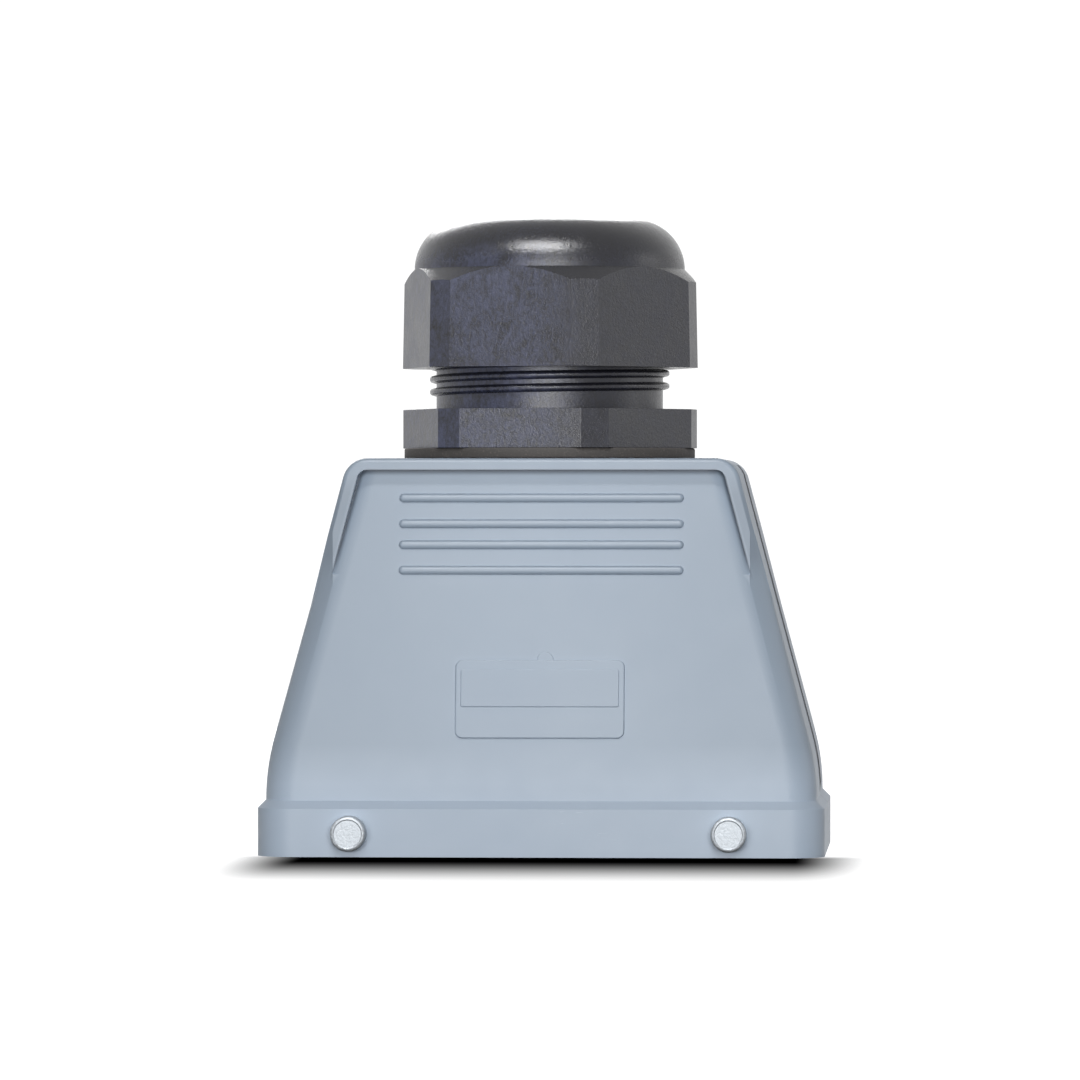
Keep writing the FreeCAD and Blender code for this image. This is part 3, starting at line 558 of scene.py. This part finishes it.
def seamRaised(thing):
    # the fine ridge down the middle of both short sides, where the two halves of the die met
    bm = bmesh.new()
    bm.from_mesh(thing.data)
    for offset in (-hood["seamHalf"], 0, hood["seamHalf"]):
        bmesh.ops.bisect_plane(bm, geom=bm.verts[:] + bm.edges[:] + bm.faces[:],
                               plane_co=(0, offset * mm, 0), plane_no=(0, 1, 0), dist=weldWithin / 10)
    bm.normal_update()
    for vert in bm.verts:
        outwards = vert.normal.x * math.copysign(1, vert.co.x)
        onSide = outwards > hood["seamFacing"] and abs(vert.co.x) > hood["seamBeyond"] * mm
        if onSide and abs(vert.co.y) < weldWithin and vert.co.z > hood["seamFoot"] * mm:
            vert.co.x += math.copysign(hood["seamRise"] * mm, vert.co.x)
    bm.to_mesh(thing.data)
    bm.free()


def dressedHood():
    skin = softened(roofEndsRounded(copiedFrom("hood_shell")), hood["edge"], angle=hood["smoothAngle"])
    seamRaised(skin)
    placed(skin, paintFinish, "housing", ["hood_shell"], hood["smoothAngle"])
    evenlyShaded(skin)


def roundRibEnds():
    bm = bmesh.new()
    bmesh.ops.create_uvsphere(bm, u_segments=hood["ribEndSides"], v_segments=hood["ribEndSides"] // 2,
                              radius=hood["ribRadius"] * mm)
    places = [(x * hood["ribEnd"], y * panelAt(height), height)
              for height in hood["ribHeights"] for x in (-1, 1) for y in (-1, 1)]
    balls = repeatedAt(asObject(bm, "ribEnds"), places)
    placed(balls, paintFinish, "housing", sharp=60)


nameplate = {
    "size": (39.3, 18.3),
    "corner": 1.7,
    "cornerSteps": 6,
    "height": 36.5,
    "raised": 0.7,
    "sunk": 0.3,
    "field": (36.8, 8.8),
    "fieldCorner": 0.5,
    "fieldHeight": 39.0,
    "fieldRaised": 0.35,
    "edge": 0.42,
    "fullEdgeFrom": 0.5,
    "ejectorRadius": 1.9,
    "ejectorPlace": (1.2, 45.6),
    "ejectorRaised": 0.3,
}


def onPanel(thing, x, height, lift):
    # lays a piece made flat round the origin onto the sloping front panel
    slope = math.atan(hood["panelLean"])
    outward = Vector((0, -math.cos(slope), math.sin(slope)))
    turnedBy(thing, 90 - math.degrees(slope), "X")
    return movedBy(thing, *(Vector((x, -panelAt(height), height)) + outward * lift))


def roundedPlate(name, width, height, corner, thickness):
    # a plate with round corners, its back a little below the origin's plane
    n = nameplate
    bm = bmesh.new()
    points = []
    for number, (sx, sy) in enumerate(((1, 1), (-1, 1), (-1, -1), (1, -1))):
        centre = (sx * (width / 2 - corner), sy * (height / 2 - corner))
        points += arcPoints(centre, corner, 90 * number, 90 * number + 90, n["cornerSteps"])
    base = bm.faces.new([bm.verts.new((x * mm, y * mm, -n["sunk"] * mm)) for x, y in points])
    extruded(bm, base, (0, 0, thickness + n["sunk"]))
    return softened(asObject(bm, name), n["edge"] * min(1.0, thickness / n["fullEdgeFrom"]), angle=50)


def castOnPanel(name, size, corner, thickness, x, height, lift=0.0):
    plate = onPanel(roundedPlate(name, *size, corner, thickness), x, height, lift)
    evenlyShaded(placed(plate, paintFinish, "housing"))


def barePlate():
    # the cast nameplate field, left bare, and the ejector mark above it
    n = nameplate
    castOnPanel("nameplateFrame", n["size"], n["corner"], n["raised"], 0, n["height"])
    castOnPanel("nameplateField", n["field"], n["fieldCorner"], n["fieldRaised"], 0, n["fieldHeight"],
                n["raised"])
    across = n["ejectorRadius"] * 2
    corner = n["ejectorRadius"] * 0.99  # a full round would leave sides of no length
    castOnPanel("ejectorMark", (across, across), corner, n["ejectorRaised"], *n["ejectorPlace"])


paintFinish = hoodPaint()
dressedHood()
roundRibEnds()
barePlate()
print("hood dressed")


# the locking pegs

peg = {
    "radius": 4.1,
    "tailRadius": 3.4,
    "root": 4.6,
    "reach": 5.0,
    "edge": 0.7,
    "dish": 0.18,
    "dishRadius": 3.15,
    "centre": (44.0, 45.0, 5.55),
    "steps": 64,
}


def lockingPeg(nodeName, xSide, ySide):
    # turned steel on a thinner tail: a round edge, and a face dished a little inside it
    edgeStart = peg["reach"] - peg["edge"]
    face = peg["reach"] - peg["dish"]
    profile = [(0, -peg["root"]), (peg["tailRadius"], -peg["root"]), (peg["tailRadius"], 0),
               (peg["radius"], 0)]
    profile += arcPoints((peg["radius"] - peg["edge"], edgeStart), peg["edge"], 0, 90, 6)
    profile += [(peg["dishRadius"], face), (0, face)]
    made = asObject(turned(profile, peg["steps"], closed=False), nodeName + "_dressed")
    x, y, z = peg["centre"]
    movedBy(turnedBy(made, -90 * ySide, "X"), x * xSide, y * ySide, z)
    placed(made, pegFinish, "housing", [nodeName], 25)


for yName, ySide in (("front", -1), ("rear", 1)):
    for xName, xSide in (("left", -1), ("right", 1)):
        lockingPeg("locking_peg_%s_%s" % (yName, xName), xSide, ySide)
print("pegs made")


# the cable gland

washer = {"inner": 29.95, "outer": 34.5, "low": 92.5, "high": 95.0, "edge": 0.4}

gland = {
    "entry": 29.65,
    "entryBore": 26.0,
    "entryEnd": 80.7,
    "seat": 95.0,
    "hexTop": 104.2,
    "flatRadius": 32.0,
    "flatHalf": 14.6,
    "turn": -9.4,
    "beyond": 38.0,
    "root": 26.9,
    "top": 126.0,
    "passage": 21.5,
    "cageSeat": 107.5,
    "cageBore": 25.0,
    "edge": 0.35,
    "steps": 144,
}

thread = {
    "root": 26.8,
    "shoulder": 28.1,
    "crest": 28.45,
    "rootHalf": 1.05,
    "shoulderHalf": 0.7,
    "crestHalf": 0.35,
    "pitch": 3.0,
    "start": 106.8,
    "turns": 6,
    "stepsPerTurn": 72,
    "fadeSteps": 16,
}

nut = {
    "bottom": 114.0,
    "flatRadius": 32.5,
    "flatHalf": 14.8,
    "draft": 1.0,
    "turn": -13.5,
    "beyond": 42.1,
    "beyondHeight": 13.4,
    "height": 35.2,
    "domeRadius": 32.1,
    "domeEdge": 11.8,
    "bore": 28.8,
    "lead": 0.8,
    "coneStart": 20.9,
    "opening": 19.8,
    "coneEnd": 29.9,
    "lip": 1.0,
    "skin": 0.01,
    "edge": 0.3,
    "steps": 144,
}

cage = {"edge": 0.2}

seal = {"bore": 18.5, "outer": 23.1, "low": 118.5, "high": 137.4, "lead": 1.2, "edge": 0.3}


def sealingWasher():
    ring = [(washer["inner"], washer["low"]), (washer["outer"], washer["low"]),
            (washer["outer"], washer["high"]), (washer["inner"], washer["high"])]
    made = softened(asObject(turned(ring, gland["steps"]), "washer"), washer["edge"], 3, 40)
    placed(made, washerFinish, "housing", ["gland_sealing_washer"])


def hexagonOn(name, ring, sizes, low, high, draft=0.0):
    # a turned ring cut to a hexagon with narrow corner flats, its new edges rounded
    made = asObject(turned(ring, sizes["steps"]), name)
    block = asObject(flattedHexagon(sizes["flatRadius"], sizes["flatHalf"], low, high, draft), "block")
    combined(made, turnedBy(block, sizes["turn"]), "INTERSECT")
    return softened(made, sizes["edge"], 3, 18)


def glandBody():
    g = gland
    ring = [(g["entryBore"], g["entryEnd"]), (g["entry"], g["entryEnd"]), (g["entry"], g["seat"]),
            (g["beyond"], g["seat"]), (g["beyond"], g["hexTop"]), (g["root"], g["hexTop"]),
            (g["root"], g["top"]), (g["cageBore"], g["top"]), (g["cageBore"], g["cageSeat"]),
            (g["passage"], g["cageSeat"]), (g["passage"], g["seat"]), (g["entryBore"], g["seat"])]
    made = hexagonOn("glandBody", ring, g, g["entryEnd"] - overrun, g["top"] + overrun)
    evenlyShaded(placed(made, mouldingFinish, "housing", ["gland_body"], 24))


def glandThread():
    # a rounded ridge that climbs the shank and rises out of it at its start
    t = thread
    upper = [(t["crest"], t["crestHalf"]), (t["shoulder"], t["shoulderHalf"]), (t["root"], t["rootHalf"])]
    profile = [(x, -z) for x, z in reversed(upper)] + upper
    bm = bmesh.new()
    verts = [bm.verts.new((x * mm, 0, (z + t["start"]) * mm)) for x, z in profile]
    edges = [bm.edges.new(pair) for pair in zip(verts, verts[1:])]
    bmesh.ops.spin(bm, geom=verts + edges, axis=(0, 0, 1), cent=(0, 0, 0), angle=t["turns"] * math.tau,
                   dvec=(0, 0, t["pitch"] / t["stepsPerTurn"] * mm), steps=t["turns"] * t["stepsPerTurn"])
    bm.verts.ensure_lookup_table()
    root = t["root"] * mm
    for index in range(len(profile) * t["fadeSteps"]):
        vert = bm.verts[index]
        rise = index // len(profile) / t["fadeSteps"]
        reach = Vector((vert.co.x, vert.co.y)).length
        share = (root + (reach - root) * rise) / reach
        vert.co.x *= share
        vert.co.y *= share
    bmesh.ops.recalc_face_normals(bm, faces=bm.faces)
    placed(asObject(bm, "glandThread"), threadFinish, "housing", sharp=60)


def domeNut():
    # the dome's round meets the round lip of the opening where the two arcs touch
    n = nut
    crownStart = n["domeRadius"] - n["domeEdge"]
    domeCentre = (crownStart, n["height"] - n["domeEdge"])
    lipAcross = n["opening"] + n["lip"]
    reach = n["domeEdge"] - n["lip"]
    lipHeight = domeCentre[1] + math.sqrt(reach ** 2 - (lipAcross - crownStart) ** 2)
    meet = math.degrees(math.atan2(lipHeight - domeCentre[1], lipAcross - crownStart))
    ring = [(n["bore"] + n["lead"], 0), (n["bore"], n["lead"]), (n["bore"], n["coneStart"]),
            (n["opening"], n["coneEnd"])]
    ring += arcPoints((lipAcross, lipHeight), n["lip"], 180, meet, 5)
    ring += arcPoints(domeCentre, n["domeEdge"], meet, 0, 20)[1:]
    ring += [(n["beyond"], n["beyondHeight"]), (n["beyond"], 0)]
    ring = [(x, z + n["bottom"]) for x, z in ring]
    made = hexagonOn("domeNut", ring, n, n["bottom"] - n["skin"], n["bottom"] + n["height"] + overrun,
                     n["draft"])
    evenlyShaded(placed(made, mouldingFinish, "nut", ["dome_nut"], 24))


def clampCage():
    made = copiedFrom("clamp_cage", cage["edge"])
    placed(made, mouldingFinish, "clamping_set", ["clamp_cage"])


def cableSeal():
    bore, outer, low, high, lead = (seal[key] for key in ("bore", "outer", "low", "high", "lead"))
    ring = [(bore + lead, low), (outer, low), (outer, high), (bore + lead, high), (bore, high - lead),
            (bore, low + lead)]
    made = softened(asObject(turned(ring, gland["steps"]), "seal"), seal["edge"], angle=30)
    placed(made, sealFinish, "clamping_set", ["cable_seal"])


sealingWasher()
glandBody()
glandThread()
domeNut()
clampCage()
cableSeal()
print("gland made")


# inserts, contacts and screws

insert = {
    "centre": 18.5,
    "edge": 0.25,
    "count": 12,
    "first": -36.3,
    "pitch": 6.6,
    "pinRow": 6.25,
    "pinRadius": 1.25,
    "pinSides": 20,
    "tipRadius": 0.9,
    "pinTip": 6.5,
    "pinEnd": 28.0,
    "terminalInner": 4.05,
    "terminalOuter": 15.55,
    "terminalHalf": 2.55,
    "terminalLow": 27.0,
    "terminalHigh": 35.0,
    "terminalEdge": 0.15,
    "wireHole": 1.7,
    "wireDepth": 5.0,
    "screwRow": 14.5,
    "pocketTop": 23.4,
    "plateEdge": 0.15,
}

screws = {
    # head is its radius, shank too, and slot is width and depth
    "terminal": {"head": 1.85, "edge": 0.222, "height": 1.7, "shank": 0.9, "length": 0.1,
                 "slot": (0.6, 0.6)},
    "earth": {"head": 3.4, "edge": 0.408, "height": 2.2, "shank": 1.9, "length": 8.0,
              "slot": (1.0, 1.0)},
    "fixing": {"head": 3.5, "edge": 0.42, "height": 2.6, "shank": 1.9, "length": 11.0,
               "slot": (1.0, 1.1)},
}


def slottedScrew(kind, name):
    # a cheese-head screw driven upwards, its seat at the origin
    s = screws[kind]
    slotWidth, slotDepth = s["slot"]
    profile = [(0, -s["height"])]
    profile += arcPoints((s["head"] - s["edge"], s["edge"] - s["height"]), s["edge"], -90, 0, 3)
    profile += [(s["head"], 0), (s["shank"], 0), (s["shank"], s["length"]), (0, s["length"])]
    made = asObject(turned(profile, 32, closed=False), name)
    slot = box("slot", (s["head"] * 3, slotWidth, slotDepth * 2), (0, 0, -s["height"]))
    return combined(made, slot, "DIFFERENCE")


def screwAt(kind, nodeName, x, y, seat):
    made = movedBy(slottedScrew(kind, nodeName + "_dressed"), x, y, seat)
    placed(made, screwFinish, "housing", [nodeName], 30)


def contactPlaces(y, z):
    return [(insert["first"] + insert["pitch"] * number, y, z) for number in range(insert["count"])]


def contactRow(nodeName, centreY, side):
    # twelve round-tipped pins, each under its terminal with a wire hole in the top
    radius, tip, sides = insert["pinRadius"], insert["tipRadius"], insert["pinSides"]
    profile = [(0, insert["pinTip"])]
    profile += arcPoints((radius - tip, insert["pinTip"] + tip), tip, -90, 0, 6)
    profile += [(radius, insert["pinEnd"]), (0, insert["pinEnd"])]
    pin = asObject(turned(profile, sides, closed=False), nodeName + "_dressed")
    movedBy(pin, 0, insert["pinRow"] * side, 0)
    inner, outer = insert["terminalInner"], insert["terminalOuter"]
    low, high = insert["terminalLow"], insert["terminalHigh"]
    middle = (inner + outer) / 2 * side
    block = box("terminal", (insert["terminalHalf"] * 2, outer - inner, high - low),
                (0, middle, (low + high) / 2))
    hole, foot, top = insert["wireHole"], high - insert["wireDepth"], high + overrun
    bore = turned([(0, foot), (hole, foot), (hole, top), (0, top)], sides, closed=False)
    combined(block, movedBy(asObject(bore, "wireHole"), 0, middle, 0), "DIFFERENCE")
    softened(block, insert["terminalEdge"], angle=40)
    row = repeatedAt(combined(pin, block, "UNION"), contactPlaces(centreY, 0))
    placed(row, contactFinish, "housing", [nodeName], 30)


def terminalScrews():
    places = []
    for centreY in (-insert["centre"], insert["centre"]):
        for side in (-1, 1):
            places += contactPlaces(centreY + insert["screwRow"] * side, insert["pocketTop"])
    made = repeatedAt(slottedScrew("terminal", "terminalScrews"), places)
    placed(made, screwFinish, "housing", sharp=30)


def footOf(nodeName):
    # middle of a node in plan and its lowest point, in millimetres
    corners = [vertex.co / mm for vertex in nodes[nodeName].data.vertices]
    low = [min(corner[axis] for corner in corners) for axis in range(3)]
    high = [max(corner[axis] for corner in corners) for axis in range(3)]
    return (low[0] + high[0]) / 2, (low[1] + high[1]) / 2, low[2]


for name in ("front_pin_insert", "rear_pin_insert"):
    placed(copiedFrom(name, insert["edge"]), plasticFinish, "housing", [name])
rows = (("contact_pins_1_to_12", -1, -1), ("contact_pins_13_to_24", -1, 1),
        ("contact_pins_25_to_36", 1, -1), ("contact_pins_37_to_48", 1, 1))
for name, insertSide, rowSide in rows:
    contactRow(name, insert["centre"] * insertSide, rowSide)
terminalScrews()
for name in sorted(nodes):
    kind = name.split("_")[0]
    if name.startswith("earth_contact"):
        placed(copiedFrom(name, insert["plateEdge"]), sheetFinish, "housing", [name])
    elif name.startswith("earth_screw") or name.startswith("fixing_screw"):
        x, y, low = footOf(name)
        screwAt(kind, name, x, y, low + screws[kind]["height"])
print("inserts made")


# camera, floor and lights, in metres

view = {
    "place": (0.0968, -1.702, 0.0822),
    "tilt": 90,
    "turn": 3.09,
    "sensor": 36,
    "lens": 239.2,
    "shift": (-0.0282, -0.0349),
    "clipEnd": 50,
}


def addCamera():
    camera = bpy.data.cameras.new("camera")
    camera.sensor_width = view["sensor"]
    camera.lens = view["lens"]
    camera.shift_x, camera.shift_y = view["shift"]
    camera.clip_end = view["clipEnd"]
    holder = bpy.data.objects.new("camera", camera)
    bpy.context.scene.collection.objects.link(holder)
    holder.location = view["place"]
    holder.rotation_euler = (math.radians(view["tilt"]), 0, math.radians(view["turn"]))
    bpy.context.scene.camera = holder


studio = {
    "floorHalfWidth": (0.15, 0.28),
    "floorReach": (-0.72, 0.9),
    "floorDrop": -0.0001,
    "glow": 1.08,
    "paper": 0.5,
    # where the painted shadow on the paper clears from dark to white: ahead of the part, beyond its ends
    # and behind its front
    "shadeAhead": (0.062, 0.178),
    "shadeBeside": (0.057, 0.079),
    "shadeAside": 0.0025,
    "shadeEnd": (-0.044, -0.030),
    "lamps": [
        # name, place, target, size, power
        ("low", (0.0, -1.9, 0.12), (0, 0, 0.03), (1.4, 0.25), 22),
        ("key", (0.15, -1.5, 0.55), (0, 0, 0.08), (0.5, 0.4), 5),
        ("top", (-0.03, -0.9, 1.15), (0, 0, 0.12), (0.42, 0.14), 3),
        ("glint", (-0.08, -0.9, 1.12), (0, 0, 0.12), (0.85, 0.2), 24),
        ("corner", (-1.2, -0.75, 0.9), (0, 0, 0.14), (0.12, 0.12), 0.4),
        ("right", (1.0, 0.1, 0.3), (0, 0, 0.1), (0.3, 0.4), 0.8),
        ("rear", (-0.3, 1.6, 0.9), (0, 0, 0.08), (0.8, 0.5), 12),
    ],
}


def floorPaper():
    # white paper that is lit by itself, with a painted shadow that darkens it near the part
    paper = Bench("floorPaper", Roughness=0.95, Specular_IOR_Level=0.0, Emission_Strength=studio["glow"])
    x, y = paper.axes()[:2]
    ahead = paper.easedRamp(y * -1, *studio["shadeAhead"])
    beside = paper.easedRamp((x - studio["shadeAside"]).size(), *studio["shadeBeside"])
    before = 1 - paper.ramp(y, *studio["shadeEnd"])
    # clear is 1 outside the painted shadow, which darkens both the paper's colour and its glow
    clear = 1 - (1 - ahead) * (1 - beside) * before
    paper.feed("Base Color", paper.blend(clear, grey(0.0), grey(studio["paper"])))
    paper.feed("Emission Color", paper.blend(clear, grey(0.0), grey(1.0)))
    return paper.material


def addFloor():
    near, far = studio["floorHalfWidth"]
    front, back = studio["floorReach"]
    corners = [(-near, front), (near, front), (far, back), (-far, back)]
    bm = bmesh.new()
    bm.faces.new([bm.verts.new((x, y, studio["floorDrop"])) for x, y in corners])
    floor = asObject(bm, "floor")
    floor.data.materials.append(floorPaper())
    floor.visible_diffuse = False  # the lamps alone light the part; the paper only mirrors in it


def addLamps():
    for name, place, target, size, power in studio["lamps"]:
        lamp = bpy.data.lights.new(name, "AREA")
        lamp.shape = "RECTANGLE"
        lamp.size, lamp.size_y = size
        lamp.energy = power
        holder = bpy.data.objects.new(name, lamp)
        bpy.context.scene.collection.objects.link(holder)
        holder.location = place
        holder.visible_camera = False
        holder.visible_diffuse = name != "glint"  # that lamp only mirrors in the part
        holder.rotation_euler = (Vector(target) - Vector(place)).to_track_quat("-Z", "Y").to_euler()


def addWhiteRoom():
    world = bpy.data.worlds.new("studio")
    world.use_nodes = True
    room = world.node_tree.nodes["Background"].inputs
    room["Color"].default_value = grey(1.0)
    room["Strength"].default_value = studio["glow"]
    world.cycles_visibility.diffuse = False  # the white room only mirrors in the part
    bpy.context.scene.world = world
    bpy.context.scene.view_settings.view_transform = "Standard"


addCamera()
addFloor()
addLamps()
addWhiteRoom()
print("camera and studio set")
